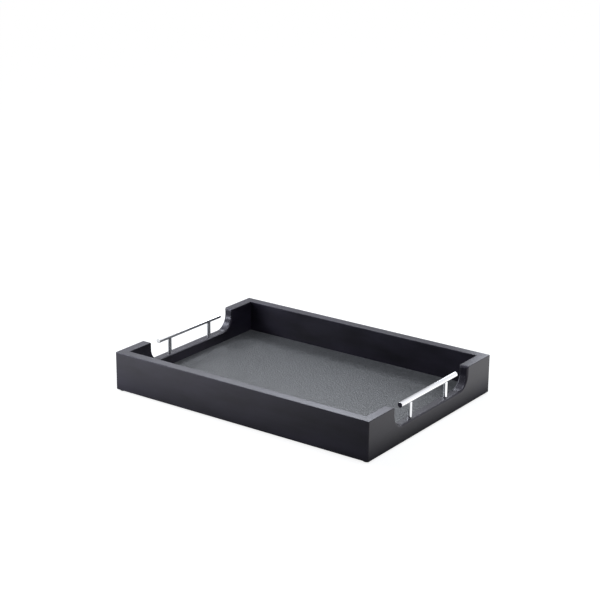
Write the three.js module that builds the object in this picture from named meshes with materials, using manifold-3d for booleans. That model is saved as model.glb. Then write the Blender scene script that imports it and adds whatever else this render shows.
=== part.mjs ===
// A butler tray: four mitred rails round a grooved-in base panel with a textured liner, a rounded
// hand scoop in each end, and a polished bar handle standing on two posts in each scoop.
// Millimetres. +X runs from the left handle to the right one, +Y from front to back, +Z up.
// The origin is the middle of the footprint, on the surface that the pads stand on.
import * as THREE from "three";
import { mergeVertices, toCreasedNormals } from "three/addons/utils/BufferGeometryUtils.js";
import Module from "manifold-3d";

const wasm = await Module();
wasm.setup();

// Frame of the tray
const TRAY_LENGTH = 455;
const TRAY_WIDTH = 328;
const RAIL_HEIGHT = 60;
const RAIL_THICKNESS = 15;
const EDGE_EASING = 1; // radius of the rails' top and inner arrises
const FOOT_EASING = 2; // radius of the rails' lower outside arris
const CORNER_EASING = 1.2; // radius of the four upright outside corners

// Floor: a panel held in grooves, with a thin liner bonded on top
const LIP_HEIGHT = 5; // rail left below the groove
const GROOVE_DEPTH = 4;
const PANEL_THICKNESS = 5.5;
const LINER_THICKNESS = 1;

// Hand scoop in each end
const SCOOP_WIDTH = 197;
const SCOOP_DEPTH = 33;
const SCOOP_RADIUS = 22; // lower corners
const SCOOP_LIP_RADIUS = 4; // upper corners, where the scoop rolls over into the rail's top
const SCOOP_EASING = 3; // radius of the scoop's two arrises, fading to the rails' own at the lips

// Bar handle
const BAR_DIAMETER = 8;
const BAR_LENGTH = 150;
const BAR_BELOW_RIM = 2;
const BAR_CHAMFER = 0.4;
const POST_DIAMETER = 6;
const POST_SPACING = 96;

// Fasteners of the handle: a countersunk screw up into each post, a stud from post to bar
const SCREW_DIAMETER = 4;
const SCREW_HEAD_DIAMETER = 7.5;
const SCREW_HEAD_RIM = 0.4;
const SCREW_HEAD_RECESS = 0.5; // head's face above the rail's underside
const SCREW_ENGAGEMENT = 8.5; // thread inside the post
const SCREW_SOCKET_WIDTH = 2.5; // hexagon across flats
const SCREW_SOCKET_DEPTH = 1.5;
const STUD_DIAMETER = 4;
const STUD_LENGTH = 10;
const STUD_IN_BAR = 4.5;
const THREAD_CHAMFER = 0.5;

// Biscuit glued across each mitre
const BISCUIT_LENGTH = 38;
const BISCUIT_WIDTH = 12;
const BISCUIT_TIP = 3; // width of the blunt ends
const BISCUIT_THICKNESS = 3;

// Pad under each corner
const PAD_DIAMETER = 10;
const PAD_THICKNESS = 1.5;
const PAD_EASING = 0.3;

// Clearances
const FIT_GAP = 0.3; // wood in its slot or groove, and each post under its bar
const THREAD_GAP = 0.2; // round a screw or stud
const GLUE_LINE = 0.1; // between mitre faces

// Mesh detail
const CUT_PAST = 2; // how far a cutter runs beyond the face that it cuts
const EASING_SEGMENTS = 2;
const SCOOP_SEGMENTS = 6;
const SCOOP_EASING_SEGMENTS = 3;
const LIP_SEGMENTS = 4;
const LIP_RUN_OUT = Math.PI / 18; // angle at which a lip meets the rail's top
const TURNED_SEGMENTS = 32;
const SOCKET_SIDES = 6;
const WELD_DISTANCE = 1e-4;
const CREASE_ANGLE = Math.PI / 6;

// Levels and places that the pieces share
const QUARTER_TURN = Math.PI / 2;
const EIGHTH_TURN = Math.PI / 4;
const LEDGE_HEIGHT = RAIL_HEIGHT - SCOOP_DEPTH;
const BAR_AXIS_HEIGHT = RAIL_HEIGHT - BAR_BELOW_RIM - BAR_DIAMETER / 2;
const POST_HEIGHT = BAR_AXIS_HEIGHT - BAR_DIAMETER / 2 - LEDGE_HEIGHT;
const PANEL_TOP = LIP_HEIGHT + PANEL_THICKNESS;
const CORNER_X = (TRAY_LENGTH - RAIL_THICKNESS) / 2;
const CORNER_Y = (TRAY_WIDTH - RAIL_THICKNESS) / 2;

const FINISHES = {
  lacquer: { color: 0x1a1b20, roughness: 0.42, metalness: 0 },
  panel: { color: 0x17181b, roughness: 0.6, metalness: 0 },
  liner: { color: 0x1d1e21, roughness: 0.5, metalness: 0 },
  steel: { color: 0xe4e6e8, roughness: 0.06, metalness: 1 },
  screw: { color: 0x9a9da0, roughness: 0.35, metalness: 1 },
  beech: { color: 0xc9a877, roughness: 0.8, metalness: 0 },
  rubber: { color: 0x141414, roughness: 0.85, metalness: 0 },
};

// Closed geometry to a solid that can be cut and joined.
function solid(geometry) {
  const bare = geometry.clone();
  bare.deleteAttribute("normal");
  bare.deleteAttribute("uv");
  const welded = mergeVertices(bare, WELD_DISTANCE);
  return new wasm.Manifold(
    new wasm.Mesh({
      numProp: 3,
      vertProperties: welded.attributes.position.array,
      triVerts: new Uint32Array(welded.index.array),
    }),
  );
}

// Solid back to a geometry, smooth over its curves and sharp at its edges.
function geometryOf(body) {
  const { vertProperties, triVerts } = body.getMesh();
  const geometry = new THREE.BufferGeometry();
  geometry.setAttribute("position", new THREE.BufferAttribute(vertProperties, 3));
  geometry.setIndex(new THREE.BufferAttribute(triVerts, 1));
  return toCreasedNormals(geometry, CREASE_ANGLE);
}

function extrude(shape, depth, curveSegments) {
  return new THREE.ExtrudeGeometry(shape, { depth, curveSegments, bevelEnabled: false });
}

// Revolves a profile of [radius, height] points, given from the bottom up, about the Z axis.
function turned(profile) {
  const points = profile.map(([radius, height]) => new THREE.Vector2(radius, height));
  return new THREE.LatheGeometry(points, TURNED_SEGMENTS).rotateX(QUARTER_TURN);
}

function rod(diameter, bottom, top) {
  return turned([
    [0, bottom],
    [diameter / 2, bottom],
    [diameter / 2, top],
    [0, top],
  ]);
}

// The rails' moulded section. Its x runs from the outside face inwards, its y up from the underside.
function railSection() {
  const inside = RAIL_THICKNESS;
  const grooveBack = RAIL_THICKNESS - GROOVE_DEPTH;
  const grooveTop = PANEL_TOP + FIT_GAP;
  const section = new THREE.Shape();
  section.moveTo(FOOT_EASING, 0);
  section.absarc(inside - EDGE_EASING, EDGE_EASING, EDGE_EASING, -QUARTER_TURN, 0);
  section.lineTo(inside, LIP_HEIGHT);
  section.lineTo(grooveBack, LIP_HEIGHT);
  section.lineTo(grooveBack, grooveTop);
  section.lineTo(inside, grooveTop);
  section.absarc(inside - EDGE_EASING, RAIL_HEIGHT - EDGE_EASING, EDGE_EASING, 0, QUARTER_TURN);
  section.absarc(EDGE_EASING, RAIL_HEIGHT - EDGE_EASING, EDGE_EASING, QUARTER_TURN, Math.PI);
  section.absarc(FOOT_EASING, FOOT_EASING, FOOT_EASING, Math.PI, 3 * QUARTER_TURN);
  return section;
}

// What is left of a rail's plan once its two upright outside corners are eased.
function easedPlan(length) {
  const half = length / 2;
  const back = RAIL_THICKNESS + CUT_PAST;
  const plan = new THREE.Shape();
  plan.moveTo(half, back);
  plan.lineTo(-half, back);
  plan.absarc(CORNER_EASING - half, CORNER_EASING, CORNER_EASING, Math.PI, 3 * QUARTER_TURN);
  plan.lineTo(CORNER_EASING - half, -CUT_PAST);
  plan.lineTo(half - CORNER_EASING, -CUT_PAST);
  plan.absarc(half - CORNER_EASING, CORNER_EASING, CORNER_EASING, -QUARTER_TURN, 0);
  return extrude(plan, RAIL_HEIGHT + 2 * CUT_PAST, EASING_SEGMENTS).translate(0, 0, -CUT_PAST);
}

// A biscuit standing on end: width along X, thickness along Y, length along Z, grown by a clearance.
function biscuit(clearance) {
  const halfLength = BISCUIT_LENGTH / 2 + clearance;
  const halfWidth = BISCUIT_WIDTH / 2 + clearance;
  const halfTip = BISCUIT_TIP / 2 + clearance;
  const thickness = BISCUIT_THICKNESS + 2 * clearance;
  const bulge = halfWidth - halfTip;
  const radius = (halfLength ** 2 + bulge ** 2) / (2 * bulge);
  const swing = Math.asin(halfLength / radius);
  const outline = new THREE.Shape();
  outline.moveTo(halfTip, -halfLength);
  outline.absarc(halfWidth - radius, 0, radius, -swing, swing);
  outline.absarc(radius - halfWidth, 0, radius, Math.PI - swing, Math.PI + swing);
  return extrude(outline, thickness, SCOOP_SEGMENTS)
    .translate(0, 0, -thickness / 2)
    .rotateX(QUARTER_TURN);
}

// A mitred rail in its own frame: x along it, y from its outside face inwards, z up from its underside.
function mitredRail(length) {
  const blank = extrude(railSection(), length, EASING_SEGMENTS).translate(0, 0, -length / 2);
  blank.rotateZ(QUARTER_TURN).rotateY(QUARTER_TURN);
  const corner = blank.attributes.position;
  for (let i = 0; i < corner.count; i += 1) {
    const end = Math.sign(corner.getX(i));
    corner.setX(i, end * (length / 2 - corner.getY(i) - GLUE_LINE / Math.SQRT2));
  }
  let rail = solid(blank).intersect(solid(easedPlan(length)));
  for (const end of [-1, 1]) {
    const slot = biscuit(FIT_GAP)
      .rotateZ(end * EIGHTH_TURN)
      .translate((end * (length - RAIL_THICKNESS)) / 2, RAIL_THICKNESS / 2, RAIL_HEIGHT / 2);
    rail = rail.subtract(solid(slot));
  }
  return rail;
}

// Points along an arc in the rail's face, each with its direction into the wood and the radius of its arris.
function scoopArc(x, z, radius, [from, to], [firstEasing, lastEasing], segments) {
  const intoWood = radius < 0 ? 1 : -1; // a negative radius is a hollow corner, centred in the opening
  return Array.from({ length: segments + 1 }, (_, step) => {
    const share = step / segments;
    const angle = THREE.MathUtils.lerp(from, to, share);
    const out = new THREE.Vector2(Math.cos(angle), Math.sin(angle));
    return {
      place: new THREE.Vector2(x, z).addScaledVector(out, Math.abs(radius)),
      into: out.multiplyScalar(intoWood),
      easing: THREE.MathUtils.lerp(firstEasing, lastEasing, share),
    };
  });
}

// The hand scoop's outline from one end to the other: a lip, a round lower corner, a flat ledge and up again.
function scoopOutline() {
  const half = SCOOP_WIDTH / 2;
  const lip = scoopArc(
    -half - SCOOP_LIP_RADIUS,
    RAIL_HEIGHT - SCOOP_LIP_RADIUS,
    SCOOP_LIP_RADIUS,
    [QUARTER_TURN - LIP_RUN_OUT, 0],
    [EDGE_EASING, SCOOP_EASING],
    LIP_SEGMENTS,
  );
  const corner = scoopArc(
    SCOOP_RADIUS - half,
    LEDGE_HEIGHT + SCOOP_RADIUS,
    -SCOOP_RADIUS,
    [Math.PI, 3 * QUARTER_TURN],
    [SCOOP_EASING, SCOOP_EASING],
    SCOOP_SEGMENTS,
  );
  const runOut = new THREE.Vector2(-Math.cos(LIP_RUN_OUT), Math.sin(LIP_RUN_OUT));
  const start = { ...lip[0], place: runOut.multiplyScalar(SCOOP_LIP_RADIUS).add(lip[0].place) };
  const above = new THREE.Vector2(start.place.x, RAIL_HEIGHT + CUT_PAST);
  const left = [{ ...start, place: above, into: new THREE.Vector2() }, start, ...lip, ...corner];
  const mirror = new THREE.Vector2(-1, 1);
  const right = left.map(({ place, into, easing }) => ({
    place: place.clone().multiply(mirror),
    into: into.clone().multiply(mirror),
    easing,
  }));
  return [...left, ...right.reverse()];
}

// Joins rings of points, from the front one to the back one, into a closed body with flat ends.
function loft(rings) {
  const count = rings[0].length;
  const index = [];
  for (let ring = 0; ring + 1 < rings.length; ring += 1) {
    for (let i = 0; i < count; i += 1) {
      const a = ring * count + i;
      const b = ring * count + ((i + 1) % count);
      index.push(a, a + count, b, b, a + count, b + count);
    }
  }
  const contour = rings[0].map(({ x, z }) => new THREE.Vector2(x, z));
  const last = (rings.length - 1) * count;
  for (const [a, b, c] of THREE.ShapeUtils.triangulateShape(contour, [])) {
    index.push(a, b, c, last + c, last + b, last + a);
  }
  const geometry = new THREE.BufferGeometry().setFromPoints(rings.flat());
  geometry.setIndex(index);
  return geometry;
}

// The scoop as a cutter. It flares like a trumpet at both faces, so that its arrises come out round.
function scoopCutter() {
  const outline = scoopOutline();
  const ring = (depthAt, growAt) =>
    outline.map(({ place, into, easing }) => {
      const { x, y } = place.clone().addScaledVector(into, growAt(easing));
      return new THREE.Vector3(x, depthAt(easing), y);
    });
  const flare = Array.from({ length: SCOOP_EASING_SEGMENTS + 1 }, (_, step) => {
    const angle = (QUARTER_TURN * step) / SCOOP_EASING_SEGMENTS;
    return { depth: 1 - Math.cos(angle), grow: 1 - Math.sin(angle) };
  });
  const outside = flare.map(({ depth, grow }) => ring((easing) => easing * depth, (easing) => easing * grow));
  const inside = flare
    .map(({ depth, grow }) => ring((easing) => RAIL_THICKNESS - easing * depth, (easing) => easing * grow))
    .reverse();
  const whole = (easing) => easing;
  const first = ring(() => -CUT_PAST, whole);
  const last = ring(() => RAIL_THICKNESS + CUT_PAST, whole);
  return solid(loft([first, ...outside, ...inside, last]));
}

// The hole for a handle screw: countersunk from below, open at the scoop's ledge.
function screwHole() {
  const shank = SCREW_DIAMETER / 2 + THREAD_GAP;
  const head = SCREW_HEAD_DIAMETER / 2 + THREAD_GAP;
  const seat = SCREW_HEAD_RECESS + SCREW_HEAD_RIM;
  return turned([
    [0, -CUT_PAST],
    [head, -CUT_PAST],
    [head, seat],
    [shank, seat + head - shank],
    [shank, LEDGE_HEIGHT + CUT_PAST],
    [0, LEDGE_HEIGHT + CUT_PAST],
  ]);
}

function endRail() {
  let rail = mitredRail(TRAY_WIDTH).subtract(scoopCutter());
  for (const place of [-1, 1]) {
    const hole = screwHole().translate((place * POST_SPACING) / 2, RAIL_THICKNESS / 2, 0);
    rail = rail.subtract(solid(hole));
  }
  return rail;
}

// A sheet that fills the space between the rails' inner faces and reaches past them by a margin.
function floorSheet(thickness, reach) {
  const between = 2 * (reach - RAIL_THICKNESS);
  const sheet = new THREE.BoxGeometry(TRAY_LENGTH + between, TRAY_WIDTH + between, thickness);
  return sheet.translate(0, 0, thickness / 2);
}

// The bar lies along Y, with a blind tapped hole in its underside over each post.
function handleBar() {
  const radius = BAR_DIAMETER / 2;
  const end = BAR_LENGTH / 2;
  let bar = solid(
    turned([
      [0, -end],
      [radius - BAR_CHAMFER, -end],
      [radius, BAR_CHAMFER - end],
      [radius, end - BAR_CHAMFER],
      [radius - BAR_CHAMFER, end],
      [0, end],
    ]).rotateX(QUARTER_TURN),
  );
  const tapped = rod(STUD_DIAMETER + 2 * THREAD_GAP, -radius - CUT_PAST, STUD_IN_BAR + THREAD_GAP - radius);
  for (const place of [-1, 1]) {
    const hole = tapped.clone().translate(0, (place * POST_SPACING) / 2, 0);
    bar = bar.subtract(solid(hole));
  }
  return bar;
}

// A post standing on z = 0, coped at the top to the bar and tapped at both ends.
function handlePost() {
  const barAxis = POST_HEIGHT + BAR_DIAMETER / 2;
  const saddle = rod(BAR_DIAMETER + 2 * FIT_GAP, -POST_DIAMETER, POST_DIAMETER)
    .rotateX(QUARTER_TURN)
    .translate(0, 0, barAxis);
  const lower = rod(SCREW_DIAMETER + 2 * THREAD_GAP, -CUT_PAST, SCREW_ENGAGEMENT + THREAD_GAP);
  const studFoot = POST_HEIGHT + STUD_IN_BAR - STUD_LENGTH;
  const upper = rod(STUD_DIAMETER + 2 * THREAD_GAP, studFoot - THREAD_GAP, barAxis);
  return [saddle, lower, upper].reduce(
    (post, cut) => post.subtract(solid(cut)),
    solid(rod(POST_DIAMETER, 0, barAxis)),
  );
}

// A stud with its foot on z = 0.
function handleStud() {
  const radius = STUD_DIAMETER / 2;
  return turned([
    [0, 0],
    [radius - THREAD_CHAMFER, 0],
    [radius, THREAD_CHAMFER],
    [radius, STUD_LENGTH - THREAD_CHAMFER],
    [radius - THREAD_CHAMFER, STUD_LENGTH],
    [0, STUD_LENGTH],
  ]);
}

// A countersunk screw placed from the rail's underside, z = 0, up past the ledge into the post.
function handleScrew() {
  const shank = SCREW_DIAMETER / 2;
  const head = SCREW_HEAD_DIAMETER / 2;
  const seat = SCREW_HEAD_RECESS + SCREW_HEAD_RIM;
  const tip = LEDGE_HEIGHT + SCREW_ENGAGEMENT;
  const body = turned([
    [0, SCREW_HEAD_RECESS],
    [head, SCREW_HEAD_RECESS],
    [head, seat],
    [shank, seat + head - shank],
    [shank, tip - THREAD_CHAMFER],
    [shank - THREAD_CHAMFER, tip],
    [0, tip],
  ]);
  const socketDepth = SCREW_SOCKET_DEPTH + CUT_PAST;
  const socketRadius = SCREW_SOCKET_WIDTH / 2 / Math.cos(Math.PI / SOCKET_SIDES);
  const socket = new THREE.CylinderGeometry(socketRadius, socketRadius, socketDepth, SOCKET_SIDES)
    .rotateX(QUARTER_TURN)
    .translate(0, 0, SCREW_HEAD_RECESS + SCREW_SOCKET_DEPTH - socketDepth / 2);
  return solid(body).subtract(solid(socket));
}

function cornerPad() {
  const radius = PAD_DIAMETER / 2;
  return turned([
    [0, 0],
    [radius - PAD_EASING, 0],
    [radius, PAD_EASING],
    [radius, PAD_THICKNESS],
    [0, PAD_THICKNESS],
  ]);
}

function piece(name, body, finish) {
  const geometry = body.isBufferGeometry ? body : geometryOf(body);
  const mesh = new THREE.Mesh(geometry, new THREE.MeshStandardMaterial(FINISHES[finish]));
  mesh.name = name;
  return mesh;
}

function buildRails() {
  const rails = new THREE.Group();
  const longRail = mitredRail(TRAY_LENGTH);
  const shortRail = endRail();
  const sides = [
    { name: "front_rail", body: longRail, x: 0, y: -TRAY_WIDTH / 2, turn: 0 },
    { name: "right_end_rail", body: shortRail, x: TRAY_LENGTH / 2, y: 0, turn: QUARTER_TURN },
    { name: "back_rail", body: longRail, x: 0, y: TRAY_WIDTH / 2, turn: Math.PI },
    { name: "left_end_rail", body: shortRail, x: -TRAY_LENGTH / 2, y: 0, turn: -QUARTER_TURN },
  ];
  for (const { name, body, x, y, turn } of sides) {
    const rail = piece(name, body, "lacquer");
    rail.position.set(x, y, 0);
    rail.rotation.z = turn;
    rails.add(rail);
  }
  return rails;
}

function buildFloor() {
  const floor = new THREE.Group();
  const panel = piece("base_panel", floorSheet(PANEL_THICKNESS, GROOVE_DEPTH - FIT_GAP), "panel");
  panel.position.z = LIP_HEIGHT;
  const liner = piece("floor_liner", floorSheet(LINER_THICKNESS, -FIT_GAP), "liner");
  liner.position.z = PANEL_TOP;
  floor.add(panel, liner);
  return floor;
}

// One handle, in a frame on the rail's underside below the middle of the scoop.
function buildHandle(side) {
  const handle = new THREE.Group();
  const bar = piece(`${side}_handle_bar`, handleBar(), "steel");
  bar.position.z = BAR_AXIS_HEIGHT;
  handle.add(bar);
  for (const [place, way] of [["front", -1], ["back", 1]]) {
    const post = piece(`${side}_${place}_post`, handlePost(), "steel");
    const stud = piece(`${side}_${place}_stud`, handleStud(), "screw");
    const screw = piece(`${side}_${place}_screw`, handleScrew(), "screw");
    post.position.z = LEDGE_HEIGHT;
    stud.position.z = LEDGE_HEIGHT + POST_HEIGHT + STUD_IN_BAR - STUD_LENGTH;
    const support = new THREE.Group();
    support.position.y = (way * POST_SPACING) / 2;
    support.add(post, stud, screw);
    handle.add(support);
  }
  return handle;
}

const tray = new THREE.Group();
const raised = new THREE.Group(); // everything that the pads carry
raised.position.z = PAD_THICKNESS;
tray.add(raised);
raised.add(buildRails(), buildFloor());

for (const [side, along] of [["left", -1], ["right", 1]]) {
  const handle = buildHandle(side);
  handle.position.x = along * CORNER_X;
  raised.add(handle);

  for (const [place, across] of [["front", -1], ["back", 1]]) {
    const key = piece(`${place}_${side}_biscuit`, biscuit(0), "beech");
    key.position.set(along * CORNER_X, across * CORNER_Y, RAIL_HEIGHT / 2);
    key.rotation.z = -along * across * EIGHTH_TURN;
    raised.add(key);

    const pad = piece(`${place}_${side}_pad`, cornerPad(), "rubber");
    pad.position.set(along * CORNER_X, across * CORNER_Y, 0);
    tray.add(pad);
  }
}

export default tray;
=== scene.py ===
# %% [markdown]
# # A black butler tray
# The tray is four mitred wooden rails, lacquered satin black, round a floor with a fine pebble grain.
# A rounded scoop is cut into each end, and a polished steel bar stands on two posts in each scoop.
# The measured solids come in first as a fixed frame. The lesson then builds a finer visible mesh for
# each piece, gives it a finish made of nodes, and lights it as a small product studio would.

import math

import bmesh
import bpy
from mathutils import Matrix, Vector


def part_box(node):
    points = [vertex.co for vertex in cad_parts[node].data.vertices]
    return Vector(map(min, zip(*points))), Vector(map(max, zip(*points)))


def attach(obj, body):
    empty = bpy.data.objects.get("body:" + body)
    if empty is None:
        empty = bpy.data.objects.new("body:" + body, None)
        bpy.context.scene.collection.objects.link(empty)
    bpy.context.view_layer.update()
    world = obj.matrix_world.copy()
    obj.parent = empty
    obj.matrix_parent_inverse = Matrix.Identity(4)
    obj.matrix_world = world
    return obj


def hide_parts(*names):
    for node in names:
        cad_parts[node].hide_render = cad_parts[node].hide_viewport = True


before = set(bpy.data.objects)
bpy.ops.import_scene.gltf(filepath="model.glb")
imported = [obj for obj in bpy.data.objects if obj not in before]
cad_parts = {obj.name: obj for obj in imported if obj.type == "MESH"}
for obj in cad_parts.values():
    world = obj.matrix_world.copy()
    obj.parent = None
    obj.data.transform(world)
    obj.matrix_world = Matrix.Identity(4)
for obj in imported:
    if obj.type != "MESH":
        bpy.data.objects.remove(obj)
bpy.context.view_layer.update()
print("Nodes in the frame:", len(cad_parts))

# %% [markdown]
# ## Sizes
# Blender works in metres and the frame's solids already stand where the real pieces do. So the tray's
# sizes are read from the boxes of those solids, and only what a box can't tell, such as a radius, is
# written here. A size that is read follows the solids if they are ever changed.

# %% Read the rails' sizes from the frame
MM = 0.001

front_low, front_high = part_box("front_rail")
end_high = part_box("right_end_rail")[1]
panel_low, panel_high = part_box("base_panel")
tray_length = 2 * end_high.x
tray_width = -2 * front_low.y
rail_height = front_high.z - front_low.z
rail_thickness = front_high.y - front_low.y
rail_foot = front_low.z
print(f"Tray {tray_length:.3f} x {tray_width:.3f} m, rails {rail_thickness:.4f} x {rail_height:.3f} m")

# %% [markdown]
# ## Finishes
# Every finish is a small graph of nodes, so it has no picture behind it and holds up from any side.
# Texture coordinates are taken from the object, in metres, so a scale of 500 means 500 bumps to the
# metre, and grain comes out at its real size. Each piece keeps its own axes: a rail's x runs along it,
# which is what lets one lacquer have its grain along all four rails.

# %% Start a finish, and keep it when it is done
finishes = {}


def start_finish(name):
    """An empty finish and its shader, with object coordinates ready to use."""
    material = bpy.data.materials.new(name)
    material.use_nodes = True
    tree = material.node_tree
    shader = tree.nodes["Principled BSDF"]
    coordinates = tree.nodes.new("ShaderNodeTexCoord")
    return material, tree, shader, coordinates.outputs["Object"]


def keep_finish(make_finish):
    """Makes a finish, keeps it under its maker's name and says how large its graph is."""
    name = make_finish.__name__
    finishes[name] = make_finish()
    print(name, "is a graph of", len(finishes[name].node_tree.nodes), "nodes")


# %% Turn noise into levels, colours and bumps
TEXTURE_LOW = 0.3  # nearly all of a noise texture lies between these two values
TEXTURE_HIGH = 0.7


def noise(tree, where, scale, detail=2.0, stretch=(1, 1, 1)):
    """Cloudy noise, optionally stretched: a small number makes it long in that direction."""
    mapping = tree.nodes.new("ShaderNodeMapping")
    mapping.inputs["Scale"].default_value = stretch
    texture = tree.nodes.new("ShaderNodeTexNoise")
    texture.inputs["Scale"].default_value = scale
    texture.inputs["Detail"].default_value = detail
    tree.links.new(where, mapping.inputs["Vector"])
    tree.links.new(mapping.outputs["Vector"], texture.inputs["Vector"])
    return texture.outputs["Fac"]


def spread(tree, value, low, high, source_low=TEXTURE_LOW, source_high=TEXTURE_HIGH):
    """Maps one range of values onto low to high. Unless it is given, that range is a noise texture's."""
    ranged = tree.nodes.new("ShaderNodeMapRange")
    ranged.inputs["From Min"].default_value = source_low
    ranged.inputs["From Max"].default_value = source_high
    ranged.inputs["To Min"].default_value = low
    ranged.inputs["To Max"].default_value = high
    tree.links.new(value, ranged.inputs["Value"])
    return ranged.outputs["Result"]


def shade_between(tree, value, dark, pale):
    """A colour that runs from dark to pale as a texture goes from its low to its high values."""
    ramp = tree.nodes.new("ShaderNodeValToRGB")
    ramp.color_ramp.elements[0].position = TEXTURE_LOW
    ramp.color_ramp.elements[0].color = (*dark, 1)
    ramp.color_ramp.elements[1].position = TEXTURE_HIGH
    ramp.color_ramp.elements[1].color = (*pale, 1)
    tree.links.new(value, ramp.inputs["Fac"])
    return ramp.outputs["Color"]


def raise_surface(tree, height, depth, strength, under=None):
    """Bump of a real depth in metres, laid over an earlier bump if there is one."""
    bump = tree.nodes.new("ShaderNodeBump")
    bump.inputs["Distance"].default_value = depth
    bump.inputs["Strength"].default_value = strength
    tree.links.new(height, bump.inputs["Height"])
    if under is not None:
        tree.links.new(under, bump.inputs["Normal"])
    return bump.outputs["Normal"]


# %% [markdown]
# ### Satin black lacquer
# The rails are sprayed: the film is nearly black with a cool violet cast, and almost all that is seen of
# it is the soft reflection of the studio. It could be a dark colour with a clear coat on top, but a satin
# film has no second, sharper layer, so one rough layer is right. The cast is in the colour and also in
# the reflection, where the specular tint fades out by itself towards grazing angles. Under the film lies
# faint grain along the rail, and on it the fine orange peel that every sprayed film keeps.

# %% Satin black lacquer
FILM_IOR = 1.45
VIOLET_CAST = (0.95, 0.92, 1.0, 1)


def black_lacquer():
    material, tree, shader, where = start_finish("black_lacquer")
    tint = noise(tree, where, scale=40.0, detail=8.0, stretch=(0.3, 1, 1))
    sheen = noise(tree, where, scale=26.0, detail=3.0, stretch=(0.35, 1, 1))
    grain = noise(tree, where, scale=900.0, detail=3.0, stretch=(0.04, 1, 1))
    peel = noise(tree, where, scale=420.0, detail=1.0)
    colour = shade_between(tree, tint, dark=(0.0060, 0.0052, 0.0085), pale=(0.0220, 0.0190, 0.0310))
    normal = raise_surface(tree, grain, depth=0.05 * MM, strength=0.22)
    normal = raise_surface(tree, peel, depth=0.10 * MM, strength=0.20, under=normal)
    shader.inputs["IOR"].default_value = FILM_IOR
    shader.inputs["Specular Tint"].default_value = VIOLET_CAST
    tree.links.new(colour, shader.inputs["Base Color"])
    tree.links.new(spread(tree, sheen, low=0.29, high=0.34), shader.inputs["Roughness"])
    tree.links.new(normal, shader.inputs["Normal"])
    return material


keep_finish(black_lacquer)

# %% [markdown]
# ### Pebble-grained liner
# The floor is covered with a thin black sheet pressed with a fine pebble grain, which keeps cups from
# sliding. Rounded cells of a Voronoi texture are the pebbles, about two and a half millimetres across, and
# noise makes them uneven. It is duller than the lacquer, so the walls fade into it instead of mirroring.

# %% Pebble-grained liner
PEBBLES_TO_THE_METRE = 380.0
PEBBLE_SMOOTHNESS = 0.6


def pebbles(tree, where):
    """Rounded pebble tops: high in the middle of each cell and low between cells."""
    cells = tree.nodes.new("ShaderNodeTexVoronoi")
    cells.feature = "SMOOTH_F1"
    cells.inputs["Scale"].default_value = PEBBLES_TO_THE_METRE
    cells.inputs["Smoothness"].default_value = PEBBLE_SMOOTHNESS
    tree.links.new(where, cells.inputs["Vector"])
    return spread(tree, cells.outputs["Distance"], low=1.0, high=0.0, source_low=0.1, source_high=0.7)


def grained_liner():
    material, tree, shader, where = start_finish("grained_liner")
    patches = noise(tree, where, scale=190.0, detail=4.0)
    fine = noise(tree, where, scale=1500.0, detail=2.0)
    colour = shade_between(tree, patches, dark=(0.038, 0.039, 0.040), pale=(0.066, 0.067, 0.069))
    normal = raise_surface(tree, pebbles(tree, where), depth=0.35 * MM, strength=0.75)
    normal = raise_surface(tree, fine, depth=0.08 * MM, strength=0.40, under=normal)
    shader.inputs["IOR"].default_value = FILM_IOR
    tree.links.new(colour, shader.inputs["Base Color"])
    tree.links.new(spread(tree, patches, low=0.40, high=0.46), shader.inputs["Roughness"])
    tree.links.new(normal, shader.inputs["Normal"])
    return material


keep_finish(grained_liner)

# %% [markdown]
# ### Polished steel
# The bars and posts are polished until they mirror the room. A metal with no roughness at all looks
# like a drawing of chrome, so the finish keeps a trace of roughness that drifts along the bar and the
# hairlines that a polishing wheel leaves.

# %% Polished steel
def polished_steel():
    material, tree, shader, where = start_finish("polished_steel")
    cloud = noise(tree, where, scale=45.0, detail=3.0)
    hairlines = noise(tree, where, scale=2600.0, detail=2.0, stretch=(1, 1, 0.03))
    colour = shade_between(tree, cloud, dark=(0.88, 0.885, 0.90), pale=(0.92, 0.92, 0.925))
    shader.inputs["Metallic"].default_value = 1.0
    tree.links.new(colour, shader.inputs["Base Color"])
    tree.links.new(spread(tree, cloud, low=0.03, high=0.06), shader.inputs["Roughness"])
    normal = raise_surface(tree, hairlines, depth=0.01 * MM, strength=0.04)
    tree.links.new(normal, shader.inputs["Normal"])
    return material


keep_finish(polished_steel)

# %% [markdown]
# ### Plated steel
# Screws and studs are ordinary zinc-plated steel: greyer than the bars and blotched by the plating bath.
# A flat grey would do from afar, but a screw is looked at up close. So one noise drives the colour, the
# roughness and the bump together, as the bath does.

# %% Plated steel
def plated_steel():
    material, tree, shader, where = start_finish("plated_steel")
    blotches = noise(tree, where, scale=700.0, detail=4.0)
    colour = shade_between(tree, blotches, dark=(0.46, 0.47, 0.50), pale=(0.62, 0.63, 0.64))
    shader.inputs["Metallic"].default_value = 1.0
    tree.links.new(colour, shader.inputs["Base Color"])
    tree.links.new(spread(tree, blotches, low=0.24, high=0.38), shader.inputs["Roughness"])
    normal = raise_surface(tree, blotches, depth=0.02 * MM, strength=0.15)
    tree.links.new(normal, shader.inputs["Normal"])
    return material


keep_finish(plated_steel)

# %% [markdown]
# ### Three finishes for the underside and the joints
# The panel's underside is board stained black, with short pressed fibres. The pads are matte rubber
# with a fine speckle. The biscuits inside the mitres are bare pressed beech, with fibre and flecks. Beech
# could be made with a wave texture for its rings, but a biscuit is too small to show a ring, so noise
# that is stretched along the fibre is enough.

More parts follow.
